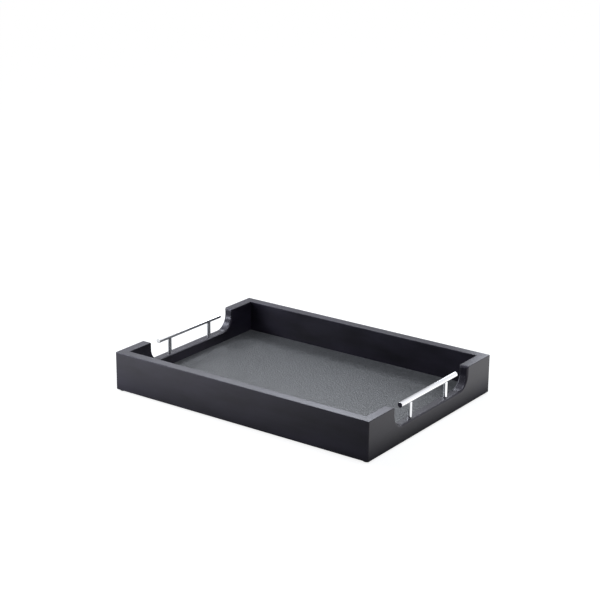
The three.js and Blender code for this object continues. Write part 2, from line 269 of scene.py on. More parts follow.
# %% Stained board
def black_board():
    material, tree, shader, where = start_finish("black_board")
    fibres = noise(tree, where, scale=260.0, detail=6.0, stretch=(0.3, 1, 1))
    colour = shade_between(tree, fibres, dark=(0.007, 0.007, 0.008), pale=(0.016, 0.015, 0.016))
    tree.links.new(colour, shader.inputs["Base Color"])
    tree.links.new(spread(tree, fibres, low=0.5, high=0.66), shader.inputs["Roughness"])
    normal = raise_surface(tree, fibres, depth=0.08 * MM, strength=0.3)
    tree.links.new(normal, shader.inputs["Normal"])
    return material


keep_finish(black_board)

# %% Matte rubber
def pad_rubber():
    material, tree, shader, where = start_finish("pad_rubber")
    speckle = noise(tree, where, scale=2400.0, detail=3.0)
    colour = shade_between(tree, speckle, dark=(0.012, 0.012, 0.012), pale=(0.022, 0.022, 0.022))
    tree.links.new(colour, shader.inputs["Base Color"])
    tree.links.new(spread(tree, speckle, low=0.8, high=0.92), shader.inputs["Roughness"])
    normal = raise_surface(tree, speckle, depth=0.05 * MM, strength=0.4)
    tree.links.new(normal, shader.inputs["Normal"])
    return material


keep_finish(pad_rubber)

# %% Pressed beech
def beech():
    material, tree, shader, where = start_finish("beech")
    fibre = noise(tree, where, scale=700.0, detail=5.0, stretch=(1, 1, 0.06))
    flecks = noise(tree, where, scale=1600.0, detail=2.0, stretch=(1, 1, 0.3))
    colour = shade_between(tree, fibre, dark=(0.50, 0.31, 0.15), pale=(0.64, 0.45, 0.25))
    tree.links.new(colour, shader.inputs["Base Color"])
    tree.links.new(spread(tree, flecks, low=0.7, high=0.85), shader.inputs["Roughness"])
    normal = raise_surface(tree, flecks, depth=0.05 * MM, strength=0.4)
    tree.links.new(normal, shader.inputs["Normal"])
    return material


keep_finish(beech)

# %% [markdown]
# ## Meshes that stand for a solid
# A visible piece is a mesh of its own that rides on the same body as the solid it stands for, and the
# solid is then hidden. Broad faces have to stay flat in reflection while their small rounded edges stay
# smooth. Weighted normals do that: the big face decides the normals at its border.

# %% Put a mesh into the scene
SHARP_ANGLE = math.radians(32)


def finish_piece(name, mesh, finish, node, place=Matrix.Identity(4)):
    """Puts a mesh into the scene with its finish, and lets it stand for a solid of the frame."""
    piece = bpy.data.objects.new(name, mesh)
    bpy.context.scene.collection.objects.link(piece)
    piece.matrix_world = place
    mesh.materials.clear()
    mesh.materials.append(finishes[finish])
    mesh.polygons.foreach_set("use_smooth", [True] * len(mesh.polygons))
    mesh.set_sharp_from_angle(angle=SHARP_ANGLE)
    weighted = piece.modifiers.new("flat faces stay flat", "WEIGHTED_NORMAL")
    weighted.keep_sharp = True
    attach(piece, "root")
    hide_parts(node)
    return piece


def to_mesh(shape, name):
    """Turns a bmesh into a mesh, with all its faces pointing out."""
    bmesh.ops.recalc_face_normals(shape, faces=shape.faces)
    mesh = bpy.data.meshes.new(name)
    shape.to_mesh(mesh)
    shape.free()
    return mesh


# %% Cut pieces and round their edges
ROUND_PROFILE = 0.5  # a bevel of this profile is an arc


def round_edges(shape, edges, easing, steps, clamp=True):
    """Rounds some of a shape's edges."""
    bmesh.ops.bevel(shape, geom=edges, offset=easing, offset_type="OFFSET", segments=steps,
                    profile=ROUND_PROFILE, affect="EDGES", clamp_overlap=clamp)


def cut_away(mesh, cutters):
    """Takes each cutter out of a mesh, as a drill or a mill would, and returns what is left."""
    work = bpy.data.objects.new("work", mesh)
    tools = [bpy.data.objects.new("tool", cutter) for cutter in cutters]
    for each in (work, *tools):
        bpy.context.scene.collection.objects.link(each)
    for tool in tools:
        cut = work.modifiers.new("cut", "BOOLEAN")
        cut.operation = "DIFFERENCE"
        cut.solver = "EXACT"
        cut.object = tool
    bpy.context.view_layer.update()
    seen = work.evaluated_get(bpy.context.evaluated_depsgraph_get())
    result = bpy.data.meshes.new_from_object(seen)
    for each in (work, *tools):
        bpy.data.objects.remove(each)
    return result


# %% Arcs and turned shapes
def arc(centre, radius, start, end, steps):
    """Points on a circle from one angle to another, in degrees, both ends included."""
    points = []
    for step in range(steps + 1):
        angle = math.radians(start + (end - start) * step / steps)
        points.append((centre[0] + radius * math.cos(angle), centre[1] + radius * math.sin(angle)))
    return points


def turn(profile, steps, thread=None):
    """Revolves (radius, height) points about the z axis, as a lathe does. Both ends lie on the axis."""
    shape = bmesh.new()
    rings = []
    for radius, height in profile:
        count = steps if radius > 0 else 1
        ring = []
        for step in range(count):
            angle = 2 * math.pi * step / count
            out = radius - thread(angle, height) if thread else radius
            ring.append(shape.verts.new((out * math.cos(angle), out * math.sin(angle), height)))
        rings.append(ring)
    for lower, upper in zip(rings, rings[1:]):
        for step in range(steps):
            after = step + 1
            corners = [lower[step % len(lower)], lower[after % len(lower)]]
            corners += [upper[after % len(upper)], upper[step % len(upper)]]
            shape.faces.new(list(dict.fromkeys(corners)))
    return shape


# %% [markdown]
# ## The rails
# Each rail is one length of board, mitred at 45 degrees, with a groove inside for the floor. It could be
# a box with a bevel, but the tray's corners are eased across two rails, so the rail is laid out line by
# line, from mitre to mitre, and only then are its arrises rounded. The mitre is so tight, and the lacquer
# so thick, that the joint hardly shows on the real tray either.

# %% Sizes of a rail that its box can't tell
EDGE_EASING = 1.0 * MM
FOOT_EASING = 2.0 * MM
CORNER_EASING = 1.2 * MM
EASING_STEPS = 4
MITRE_GAP = 0.02 * MM
GROOVE_DEPTH = 4.0 * MM
GROOVE_CLEARANCE = 0.3 * MM

lip_height = panel_low.z - rail_foot
groove_top = panel_high.z - rail_foot + GROOVE_CLEARANCE
print(f"Groove from {lip_height / MM:.1f} to {groove_top / MM:.1f} mm above the rail's underside")


# %% The blank of a rail
def edges_along(points):
    """The edges that join one point to the next."""
    found = []
    for first, second in zip(points, points[1:]):
        for edge in first.link_edges:
            if edge.other_vert(first) == second:
                found.append(edge)
    return found


def rail_blank(length):
    """A mitred rail: x along it, y from its outside face inwards, z up from its underside."""
    shape = bmesh.new()
    half = length / 2 - MITRE_GAP

    def line(points):
        return [shape.verts.new(point) for point in points]

    def from_mitre_to_mitre(y, z):
        return line([(y - half, y, z), (half - y, y, z)])

    right_corner = arc((half - CORNER_EASING, CORNER_EASING), CORNER_EASING, 270, 315, EASING_STEPS)
    plan = [(-x, y) for x, y in reversed(right_corner)] + right_corner
    outer_foot = line([(x, y, 0) for x, y in plan])
    outer_top = line([(x, y, rail_height) for x, y in plan])
    inner_foot = from_mitre_to_mitre(rail_thickness, 0)
    inner_lip = from_mitre_to_mitre(rail_thickness, lip_height)
    groove_floor = from_mitre_to_mitre(rail_thickness - GROOVE_DEPTH, lip_height)
    groove_roof = from_mitre_to_mitre(rail_thickness - GROOVE_DEPTH, groove_top)
    inner_roof = from_mitre_to_mitre(rail_thickness, groove_top)
    inner_top = from_mitre_to_mitre(rail_thickness, rail_height)

    for step in range(len(plan) - 1):
        shape.faces.new(outer_foot[step:step + 2] + outer_top[step:step + 2][::-1])
    lines = (outer_foot, inner_foot, inner_lip, groove_floor, groove_roof, inner_roof, inner_top, outer_top)
    for first, second in zip(lines, lines[1:]):
        shape.faces.new(first + second[::-1])
    for end in (0, -1):
        shape.faces.new([each[end] for each in lines])

    rounded = edges_along(outer_top) + edges_along(inner_top) + edges_along(inner_foot)
    foot = edges_along(outer_foot)
    bmesh.ops.recalc_face_normals(shape, faces=shape.faces)
    for edges, easing in ((rounded, EDGE_EASING), (foot, FOOT_EASING)):
        round_edges(shape, edges, easing, EASING_STEPS, clamp=False)
    return to_mesh(shape, "rail")


print(f"Rails are {tray_length / MM:.0f} and {tray_width / MM:.0f} mm long over their mitres")

# %% [markdown]
# ### The hand scoop
# A hand grips the bar through a scoop in the end rail. Its corners are wide arcs, its upper ends roll over
# into the rail's top, and its arrises are rounded much more than the rest, so that they don't cut into the
# fingers. A bevel has one width all along an edge, and this rounding fades out at the lips. So the scoop is
# a cutter shaped like a trumpet: it is joined up from rings that grow wider towards both faces of the rail.

# %% The scoop's outline
SCOOP_WIDTH = 197 * MM
SCOOP_RADIUS = 22 * MM
SCOOP_LIP_RADIUS = 4 * MM
SCOOP_EASING = 3 * MM
SCOOP_STEPS = 16
LIP_STEPS = 8
LIP_RUN_OUT = 10  # degrees at which a lip meets the rail's top
CUT_PAST = 2 * MM  # how far a cutter runs beyond the face that it cuts

post_low, post_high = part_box("right_front_post")
ledge_height = post_low.z - rail_foot


def scoop_outline():
    """The scoop from left to right: places, each with its way into the wood and its arris's radius."""
    half = SCOOP_WIDTH / 2
    lip = Vector((-half - SCOOP_LIP_RADIUS, rail_height - SCOOP_LIP_RADIUS))
    corner = Vector((SCOOP_RADIUS - half, ledge_height + SCOOP_RADIUS))
    left = []
    for step, way in enumerate(arc((0, 0), 1, 90 - LIP_RUN_OUT, 0, LIP_STEPS)):
        easing = EDGE_EASING + (SCOOP_EASING - EDGE_EASING) * step / LIP_STEPS
        left.append((lip + SCOOP_LIP_RADIUS * Vector(way), -Vector(way), easing))
    for way in arc((0, 0), 1, 180, 270, SCOOP_STEPS):
        left.append((corner + SCOOP_RADIUS * Vector(way), Vector(way), SCOOP_EASING))
    slope = math.radians(LIP_RUN_OUT)
    first, first_way, easing = left[0]
    start = first + SCOOP_LIP_RADIUS * Vector((-math.cos(slope), math.sin(slope)))
    above = Vector((start.x, rail_height + CUT_PAST))
    left = [(above, Vector((0, 0)), easing), (start, first_way, easing)] + left
    mirror = Vector((-1, 1))
    right = [(place * mirror, way * mirror, easing) for place, way, easing in reversed(left)]
    return left + right


print("Points in the scoop's outline:", len(scoop_outline()))

# %% The scoop as a cutter
FLARE_STEPS = 6


def loft(rings):
    """Joins rings of points, one after the other, into a closed body with flat ends."""
    shape = bmesh.new()
    layers = [[shape.verts.new(point) for point in ring] for ring in rings]
    for near, far in zip(layers, layers[1:]):
        for step in range(len(near)):
            after = (step + 1) % len(near)
            shape.faces.new((near[step], near[after], far[after], far[step]))
    shape.faces.new(layers[0])
    shape.faces.new(layers[-1])
    bmesh.ops.triangulate(shape, faces=shape.faces)
    return shape


def scoop_cutter():
    outline = scoop_outline()
    outside = []
    for depth, wider in arc((1, 1), 1, 180, 270, FLARE_STEPS):
        ring = []
        for place, way, easing in outline:
            grown = place + way * easing * wider
            ring.append((grown.x, easing * depth, grown.y))
        outside.append(ring)
    inside = [[(x, rail_thickness - y, z) for x, y, z in ring] for ring in reversed(outside)]
    first = [(x, -CUT_PAST, z) for x, y, z in outside[0]]
    last = [(x, rail_thickness + CUT_PAST, z) for x, y, z in inside[-1]]
    return to_mesh(loft([first, *outside, *inside, last]), "scoop")


print(f"The scoop's ledge is {ledge_height / MM:.1f} mm above the rail's underside")

# %% [markdown]
# ### Slots and screw holes
# A biscuit of beech is glued across each mitre, so each end of a rail has half a biscuit slot. The end
# rails are drilled from below for the two screws that hold the handle's posts, and countersunk there.
# A hole could be left out of the mesh while it is laid out, but that takes many more faces by hand. So
# each tool is modelled as the shape that it takes away, and a boolean does the cutting.

# %% Cutter for a biscuit slot
BISCUIT_LENGTH = 38 * MM
BISCUIT_WIDTH = 12 * MM
BISCUIT_TIP = 3 * MM
BISCUIT_THICKNESS = 3 * MM
BISCUIT_STEPS = 12
SLOT_CLEARANCE = 0.3 * MM


def biscuit_shape(clearance):
    """A biscuit standing on end, grown all round: width along x, thickness along y, length along z."""
    half_length = BISCUIT_LENGTH / 2 + clearance
    half_width = BISCUIT_WIDTH / 2 + clearance
    half_depth = BISCUIT_THICKNESS / 2 + clearance
    bulge = half_width - BISCUIT_TIP / 2 - clearance
    radius = (half_length ** 2 + bulge ** 2) / (2 * bulge)
    swing = math.degrees(math.asin(half_length / radius))
    outline = arc((half_width - radius, 0), radius, -swing, swing, BISCUIT_STEPS)
    outline += arc((radius - half_width, 0), radius, 180 - swing, 180 + swing, BISCUIT_STEPS)
    shape = bmesh.new()
    sides = []
    for y in (-half_depth, half_depth):
        sides.append([shape.verts.new((x, y, z)) for x, z in outline])
        shape.faces.new(sides[-1])
    for step in range(len(outline)):
        after = (step + 1) % len(outline)
        shape.faces.new((sides[0][step], sides[0][after], sides[1][after], sides[1][step]))
    return shape


print(f"A slot is {(BISCUIT_LENGTH + 2 * SLOT_CLEARANCE) / MM:.1f} mm long")

# %% Cutter for a screw hole
SCREW_DIAMETER = 4 * MM
SCREW_HEAD_DIAMETER = 7.5 * MM
SCREW_HEAD_RIM = 0.4 * MM
THREAD_GAP = 0.2 * MM
TURNED_STEPS = 48

screw_low, screw_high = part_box("right_front_screw")
head_recess = screw_low.z - rail_foot


def screw_hole():
    """A hole for a screw, countersunk from below and open at the scoop's ledge."""
    shank = SCREW_DIAMETER / 2 + THREAD_GAP
    head = SCREW_HEAD_DIAMETER / 2 + THREAD_GAP
    seat = head_recess + SCREW_HEAD_RIM
    through = ledge_height + CUT_PAST
    profile = [(0, -CUT_PAST), (head, -CUT_PAST), (head, seat), (shank, seat + head - shank)]
    return turn(profile + [(shank, through), (0, through)], TURNED_STEPS)


print(f"Screw heads sit {head_recess / MM:.1f} mm inside the rail")

# %% Build the four rails
post_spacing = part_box("right_back_post")[0].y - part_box("right_front_post")[0].y


def build_rail(node, length, x, y, turn_angle, has_scoop):
    """Makes one rail at its place. turn_angle turns its outside face to the outside of the tray."""
    cutters = [scoop_cutter()] if has_scoop else []
    for end in (-1, 1):
        slot = biscuit_shape(SLOT_CLEARANCE)
        along = end * (length - rail_thickness) / 2
        mitre = Matrix.Translation((along, rail_thickness / 2, rail_height / 2))
        slot.transform(mitre @ Matrix.Rotation(end * math.pi / 4, 4, "Z"))
        cutters.append(to_mesh(slot, "slot"))
        if has_scoop:
            hole = screw_hole()
            hole.transform(Matrix.Translation((end * post_spacing / 2, rail_thickness / 2, 0)))
            cutters.append(to_mesh(hole, "hole"))
    mesh = cut_away(rail_blank(length), cutters)
    place = Matrix.Translation((x, y, rail_foot)) @ Matrix.Rotation(turn_angle, 4, "Z")
    return finish_piece(f"{node}_lacquered", mesh, "black_lacquer", node, place)


rails = [
    build_rail("front_rail", tray_length, 0, -tray_width / 2, turn_angle=0, has_scoop=False),
    build_rail("right_end_rail", tray_width, tray_length / 2, 0, turn_angle=math.pi / 2, has_scoop=True),
    build_rail("back_rail", tray_length, 0, tray_width / 2, turn_angle=math.pi, has_scoop=False),
    build_rail("left_end_rail", tray_width, -tray_length / 2, 0, turn_angle=-math.pi / 2, has_scoop=True),
]
for rail in rails:
    print(rail.name, "has", len(rail.data.polygons), "faces")

# %% [markdown]
# ## The floor
# The panel slides in the rails' groove and the liner is bonded on top of it. Both are thin sheets with
# slightly softened edges. A plain box would do for their shape, but an edge with no round to it never
# catches the light, and the thin line of light round the liner is what shows that it is a sheet.

# %% Panel and liner
SHEET_EASING = 0.4 * MM
SHEET_STEPS = 3


def eased_sheet(low, high):
    """A sheet between two corners, with all its edges rounded a little."""
    shape = bmesh.new()
    bmesh.ops.create_cube(shape, size=1)
    size = high - low
    shape.transform(Matrix.Translation((low + high) / 2) @ Matrix.Diagonal((*size, 1)))
    round_edges(shape, shape.edges[:], SHEET_EASING, SHEET_STEPS)
    return shape


panel_mesh = to_mesh(eased_sheet(panel_low, panel_high), "panel")
finish_piece("base_panel_board", panel_mesh, "black_board", "base_panel")
liner_low, liner_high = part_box("floor_liner")
liner_mesh = to_mesh(eased_sheet(liner_low, liner_high), "liner")
finish_piece("floor_liner_grained", liner_mesh, "grained_liner", "floor_liner")
print("Liner's top is", round(liner_high.z / MM, 2), "mm above the table")

# %% [markdown]
# ## The handles
# A handle is a round bar on two posts. Bevelled cylinders would do, but all of it is turned work, so each
# piece is a profile revolved about an axis, and the profile shows the sizes that a turner needs. The
# post's top is coped, which means that it is hollowed to the bar's round, and the bar has blind holes for
# the studs. The bar's ends are eased by a fraction of a millimetre, which catches the light.

# %% Sizes of the handles
BAR_EASING = 0.4 * MM
BAR_EASING_STEPS = 4
BAR_STEPS = 64
STUD_IN_BAR = 4.5 * MM
COPE_GAP = 0.05 * MM
STUD_DIAMETER = 4 * MM
SCREW_ENGAGEMENT = 8.5 * MM

stud_low, stud_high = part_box("right_front_stud")
bar_low, bar_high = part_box("right_handle_bar")
bar_radius = (bar_high.z - bar_low.z) / 2
bar_length = bar_high.y - bar_low.y
bar_axis = (bar_high.z + bar_low.z) / 2
post_radius = (post_high.x - post_low.x) / 2
print(f"Bars {2 * bar_radius / MM:.1f} mm thick, posts {2 * post_radius / MM:.1f} mm")


# %% Bars
def rod(radius, bottom, top):
    return turn([(0, bottom), (radius, bottom), (radius, top), (0, top)], TURNED_STEPS)


def handle_bar():
    """A bar along z with eased ends and, in the side that faces -x, the two stud holes."""
    half = bar_length / 2
    ease = arc((bar_radius - BAR_EASING, half - BAR_EASING), BAR_EASING, 0, 90, BAR_EASING_STEPS)
    upper = ease + [(0, half)]
    lower = [(radius, -height) for radius, height in reversed(upper)]
    bar = to_mesh(turn(lower + upper, BAR_STEPS), "bar")
    holes = []
    for end in (-1, 1):
        hole_end = STUD_IN_BAR + THREAD_GAP - bar_radius
        hole = rod(STUD_DIAMETER / 2 + THREAD_GAP, -bar_radius - CUT_PAST, hole_end)
        above_post = Matrix.Translation((0, 0, end * post_spacing / 2))
        hole.transform(above_post @ Matrix.Rotation(math.pi / 2, 4, "Y"))
        holes.append(to_mesh(hole, "hole"))
    return cut_away(bar, holes)


bar_turn = Matrix.Rotation(math.pi / 2, 4, "X") @ Matrix.Rotation(math.pi / 2, 4, "Z")
for side in ("left", "right"):
    node = f"{side}_handle_bar"
    low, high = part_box(node)
    place = Matrix.Translation((low + high) / 2) @ bar_turn
    bar = finish_piece(f"{node}_polished", handle_bar(), "polished_steel", node, place)
    print(bar.name, "has", len(bar.data.polygons), "faces")


# %% Posts
def handle_post():
    """A post on z = 0, coped at the top to the bar and bored at both ends."""
    bar_above = bar_axis - post_low.z
    height = bar_low.z - post_low.z
    saddle = rod(bar_radius + COPE_GAP, -2 * post_radius, 2 * post_radius)
    saddle.transform(Matrix.Translation((0, 0, bar_above)) @ Matrix.Rotation(math.pi / 2, 4, "X"))
    lower = rod(SCREW_DIAMETER / 2 + THREAD_GAP, -CUT_PAST, SCREW_ENGAGEMENT + THREAD_GAP)
    upper = rod(STUD_DIAMETER / 2 + THREAD_GAP, stud_low.z - post_low.z - THREAD_GAP, bar_above)
    blank = to_mesh(rod(post_radius, 0, height + post_radius), "post")
    return cut_away(blank, [to_mesh(cutter, "cutter") for cutter in (saddle, lower, upper)])


def foot_of(node):
    """The middle of the bottom of a solid's box."""
    low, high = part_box(node)
    return Matrix.Translation(((low.x + high.x) / 2, (low.y + high.y) / 2, low.z))


for side in ("left", "right"):
    for end in ("front", "back"):
        node = f"{side}_{end}_post"
        post = finish_piece(f"{node}_polished", handle_post(), "polished_steel", node, foot_of(node))
print("A post has", len(post.data.polygons), "faces")

# %% [markdown]
# ## Fasteners and feet
# These are hidden from the front, but a reader who turns the tray over finds them: the socket heads of
# four screws in their countersinks, and a soft pad at each corner. The studs and the biscuits only show
# when the pieces are pulled apart. A thread could be painted on as a bump, but here it is modelled: the
# lathe takes a little off the radius, and how much depends on the height and climbs with the angle.

# %% Threads
THREAD_PITCH = 0.7 * MM
THREAD_DEPTH = 0.35 * MM
THREAD_CHAMFER = 0.5 * MM
ROWS_IN_A_PITCH = 6


def thread_cut(first, last):
    """How much a thread takes off the radius: a ridge between two heights that climbs a pitch a turn."""
    def depth(angle, height):
        if height < first or height > last:
            return 0
        phase = (height / THREAD_PITCH - angle / (2 * math.pi)) % 1
        return THREAD_DEPTH * abs(2 * phase - 1)
    return depth


def threaded_rows(radius, first, last):
    """Points up a threaded stretch, close enough for its ridge to show."""
    count = math.ceil((last - first) / THREAD_PITCH * ROWS_IN_A_PITCH)
    return [(radius, first + (last - first) * step / count) for step in range(count + 1)]


print(f"A thread of {THREAD_PITCH / MM:.1f} mm pitch has {ROWS_IN_A_PITCH} rows to the pitch")

# %% Screws
SOCKET_WIDTH = 2.5 * MM
SOCKET_DEPTH = 1.5 * MM
SOCKET_SIDES = 6
THREADED_STEPS = 32


def handle_screw():
    """A countersunk screw with a hexagon socket, its head's face at z = 0."""
    radius = SCREW_DIAMETER / 2
    head = SCREW_HEAD_DIAMETER / 2
    tip = screw_high.z - screw_low.z
    shoulder = tip - SCREW_ENGAGEMENT
    under_head = SCREW_HEAD_RIM + head - radius
    profile = [(0, 0), (head - SCREW_HEAD_RIM / 2, 0), (head, SCREW_HEAD_RIM / 2), (head, SCREW_HEAD_RIM)]
    profile += [(radius, under_head), (radius, shoulder - THREAD_PITCH)]
    profile += threaded_rows(radius, shoulder, tip - THREAD_CHAMFER)
    profile += [(radius - THREAD_CHAMFER, tip), (0, tip)]
    body = to_mesh(turn(profile, THREADED_STEPS, thread_cut(shoulder, tip - THREAD_CHAMFER)), "screw")
    to_corner = SOCKET_WIDTH / 2 / math.cos(math.pi / SOCKET_SIDES)
    drill_point = SOCKET_DEPTH + SOCKET_WIDTH / 4
    socket = [(0, -CUT_PAST), (to_corner, -CUT_PAST), (to_corner, SOCKET_DEPTH), (0, drill_point)]
    return cut_away(body, [to_mesh(turn(socket, SOCKET_SIDES), "socket")])


print(f"Screws are {(screw_high.z - screw_low.z) / MM:.1f} mm long")


# %% Studs, and both in place
def handle_stud():
    """A short threaded stud, its foot on z = 0."""
    radius = STUD_DIAMETER / 2
    length = stud_high.z - stud_low.z
    first, last = THREAD_CHAMFER, length - THREAD_CHAMFER
    profile = [(0, 0), (radius - THREAD_CHAMFER, 0)]
    profile += threaded_rows(radius, first, last)
    profile += [(radius - THREAD_CHAMFER, length), (0, length)]
    return to_mesh(turn(profile, THREADED_STEPS, thread_cut(first, last)), "stud")


for side in ("left", "right"):
    for end in ("front", "back"):
        node = f"{side}_{end}_screw"
        screw = finish_piece(f"{node}_plated", handle_screw(), "plated_steel", node, foot_of(node))
        node = f"{side}_{end}_stud"
        stud = finish_piece(f"{node}_plated", handle_stud(), "plated_steel", node, foot_of(node))
print("Faces of a screw and a stud:", len(screw.data.polygons), len(stud.data.polygons))

# %% Pads
PAD_ROUND = 0.5 * MM
PAD_ROUND_STEPS = 6
PAD_DISH = 0.4 * MM
DISH_SHARE = 0.55  # of the pad's radius

pad_low, pad_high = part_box("front_left_pad")
pad_radius = (pad_high.x - pad_low.x) / 2
pad_thickness = pad_high.z - pad_low.z


def corner_pad():
    """A round rubber pad on z = 0: rounded below, and dished so that it grips with a ring."""
    dish = pad_radius * DISH_SHARE
    profile = [(0, PAD_DISH), (dish - PAD_DISH, PAD_DISH), (dish, 0)]
    profile += arc((pad_radius - PAD_ROUND, PAD_ROUND), PAD_ROUND, 270, 360, PAD_ROUND_STEPS)
    profile += [(pad_radius, pad_thickness), (0, pad_thickness)]
    return to_mesh(turn(profile, TURNED_STEPS), "pad")


print(f"Pads {2 * pad_radius / MM:.1f} mm across and {pad_thickness / MM:.1f} mm thick")

# %% Biscuits, and both in place
BISCUIT_EASING = 0.3 * MM
BISCUIT_EASING_STEPS = 2


def pressed_biscuit():
    """A biscuit with the soft edges that the press leaves."""
    shape = biscuit_shape(0)
    rims = [edge for edge in shape.edges if edge.verts[0].co.y * edge.verts[1].co.y > 0]
    round_edges(shape, rims, BISCUIT_EASING, BISCUIT_EASING_STEPS)
    return to_mesh(shape, "biscuit")


for end, across in (("front", -1), ("back", 1)):
    for side, along in (("left", -1), ("right", 1)):
        node = f"{end}_{side}_pad"
        pad = finish_piece(f"{node}_moulded", corner_pad(), "pad_rubber", node, foot_of(node))
        node = f"{end}_{side}_biscuit"
        low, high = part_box(node)
        across_mitre = Matrix.Rotation(-along * across * math.pi / 4, 4, "Z")
        place = Matrix.Translation((low + high) / 2) @ across_mitre
        biscuit = finish_piece(f"{node}_pressed", pressed_biscuit(), "beech", node, place)
print("Faces of a pad and a biscuit:", len(pad.data.polygons), len(biscuit.data.polygons))

# %% [markdown]
# ## Camera
# The photo was taken from the tray's front right, a little above it. These angles were worked out from
# where the eight corners of the tray's box fall in the picture, which also fixes the lens: the sides
# draw together only slightly, so the camera stands well back with a long lens. It could be moved by hand
# until the picture looks right, but then a wrong lens and a wrong size can hide each other.

# %% Camera
CAMERA_AZIMUTH = 0.623  # this and the next two are in radians
CAMERA_ELEVATION = 0.3182
CAMERA_ROLL = 0.0079
CAMERA_DISTANCE = 2441.08 * MM
AIM_RIGHT = -3.79 * MM
AIM_UP = 136.77 * MM
LENS = 97.065  # a camera's lens and sensor are in millimetres
SENSOR_WIDTH = 36
FAR_CLIP = 100  # metres

back = Vector((math.sin(CAMERA_AZIMUTH) * math.cos(CAMERA_ELEVATION),
               -math.cos(CAMERA_AZIMUTH) * math.cos(CAMERA_ELEVATION),
               math.sin(CAMERA_ELEVATION)))
level_right = Vector((math.cos(CAMERA_AZIMUTH), math.sin(CAMERA_AZIMUTH), 0))
level_up = back.cross(level_right)
right = math.cos(CAMERA_ROLL) * level_right + math.sin(CAMERA_ROLL) * level_up
up = math.cos(CAMERA_ROLL) * level_up - math.sin(CAMERA_ROLL) * level_right
eye = Vector((0, 0, rail_foot)) + AIM_RIGHT * right + AIM_UP * up + CAMERA_DISTANCE * back

camera = bpy.data.objects.new("camera", bpy.data.cameras.new("camera"))
camera.data.sensor_width = SENSOR_WIDTH
camera.data.lens = LENS
camera.data.clip_end = FAR_CLIP
camera.matrix_world = Matrix.Translation(eye) @ Matrix((right, up, back)).transposed().to_4x4()
bpy.context.scene.collection.objects.link(camera)
bpy.context.scene.camera = camera
print("Camera at", [round(c, 3) for c in eye])

# %% [markdown]
# ## Studio
# The tray stands on a wide plain sheet. The sheet is dark grey to the light, so it throws little of it back
# onto the tray, and it is lifted to white only where the camera looks straight at it. Close to the
# tray the lift is a little lower, so that the soft shadow shows. Two stretches of the sheet, on the right
# and in front, glow for mirror-like surfaces alone: they are a painted reflection of a bright floor, which
# the steel posts, the right face and the front face reflect. Close to the tray both fade to dark, which is
# a painted contact shadow in that reflection, and the front one also fades towards the right as painted
# shade.
# Lamps under the floor could do that too, but they would also light the tray.

# %% Levels that depend on who looks
def choose(tree, switch, off, on):
    """One of two levels, each a number or a node's output."""
    mix = tree.nodes.new("ShaderNodeMix")
    tree.links.new(switch, mix.inputs["Factor"])
    for socket, level in ((mix.inputs["A"], off), (mix.inputs["B"], on)):
        if isinstance(level, float):
            socket.default_value = level
        else:
            tree.links.new(level, socket)
    return mix.outputs["Result"]


def combine(tree, operation, first, second):
    """Two levels put together by a sum, a product or the larger of the two."""
    node = tree.nodes.new("ShaderNodeMath")
    node.operation = operation
    tree.links.new(first, node.inputs[0])
    tree.links.new(second, node.inputs[1])
    return node.outputs[0]


def seen_directly(tree, camera_level, mirror_level, other_level):
    """A strength that depends on who looks: the camera, a mirror or glass, or the light on things."""
    path = tree.nodes.new("ShaderNodeLightPath")
    mirror = combine(tree, "MAXIMUM", path.outputs["Is Glossy Ray"], path.outputs["Is Transmission Ray"])
    level = choose(tree, mirror, other_level, mirror_level)
    return choose(tree, path.outputs["Is Camera Ray"], level, camera_level)


# %% How much the floor is lifted
right_edge = tray_length / 2
back_edge = tray_width / 2
front_edge = -back_edge
# Each ramp is the level where it starts, the level where it ends, and those two places in metres.
CAMERA_LIFT = (0.86, 1.0, 0.4, 1.0)
# The right stretch is painted reflection: dark at the tray's right face as a painted contact shadow, and
# brighter towards the back as painted light.
RIGHT_PAINTED_REFLECTION_X = (0.0, 1.0, right_edge + 3 * MM, right_edge + 48 * MM)
RIGHT_PAINTED_REFLECTION_Y = (0.62, 1.24, front_edge, back_edge)
# The front stretch is painted reflection: bright on the left and dim on the right as painted shade, and dim
# at the tray's front as a painted contact shadow.
FRONT_PAINTED_REFLECTION_X = (1.04, 0.12, -280 * MM, 160 * MM)
FRONT_PAINTED_REFLECTION_Y = (1.0, 0.2, front_edge - 90 * MM, front_edge)


def painted_reflection_stretch(tree, place, along_x, along_y):
    """A stretch of floor that glows for mirrors alone as painted reflection, with a level that changes
    along x and along y.
    """
    level_x = spread(tree, place.outputs["X"], *along_x)
    level_y = spread(tree, place.outputs["Y"], *along_y)
    return combine(tree, "MULTIPLY", level_x, level_y)


def floor_glow(tree):
    """The floor's lift: by distance for the camera, the two stretches of painted reflection for mirrors,
    none for the light.
    """
    where = tree.nodes.new("ShaderNodeTexCoord").outputs["Object"]
    place = tree.nodes.new("ShaderNodeSeparateXYZ")
    tree.links.new(where, place.inputs["Vector"])
    right_painted_reflection = painted_reflection_stretch(tree, place, RIGHT_PAINTED_REFLECTION_X, RIGHT_PAINTED_REFLECTION_Y)
    front_painted_reflection = painted_reflection_stretch(tree, place, FRONT_PAINTED_REFLECTION_X, FRONT_PAINTED_REFLECTION_Y)
    stretches = combine(tree, "ADD", right_painted_reflection, front_painted_reflection)
    away = tree.nodes.new("ShaderNodeVectorMath")
    away.operation = "LENGTH"
    tree.links.new(where, away.inputs[0])
    white = spread(tree, away.outputs["Value"], *CAMERA_LIFT)
    return seen_directly(tree, camera_level=white, mirror_level=stretches, other_level=0.0)


print("For the camera the lift grows from", CAMERA_LIFT[0], "at the tray to", CAMERA_LIFT[1], "far away")

# %% Floor
FLOOR_SIZE = 16.0
FLOOR_DROP = 0.05 * MM  # so that the pads' undersides don't share its plane
FLOOR_ALBEDO = 0.25


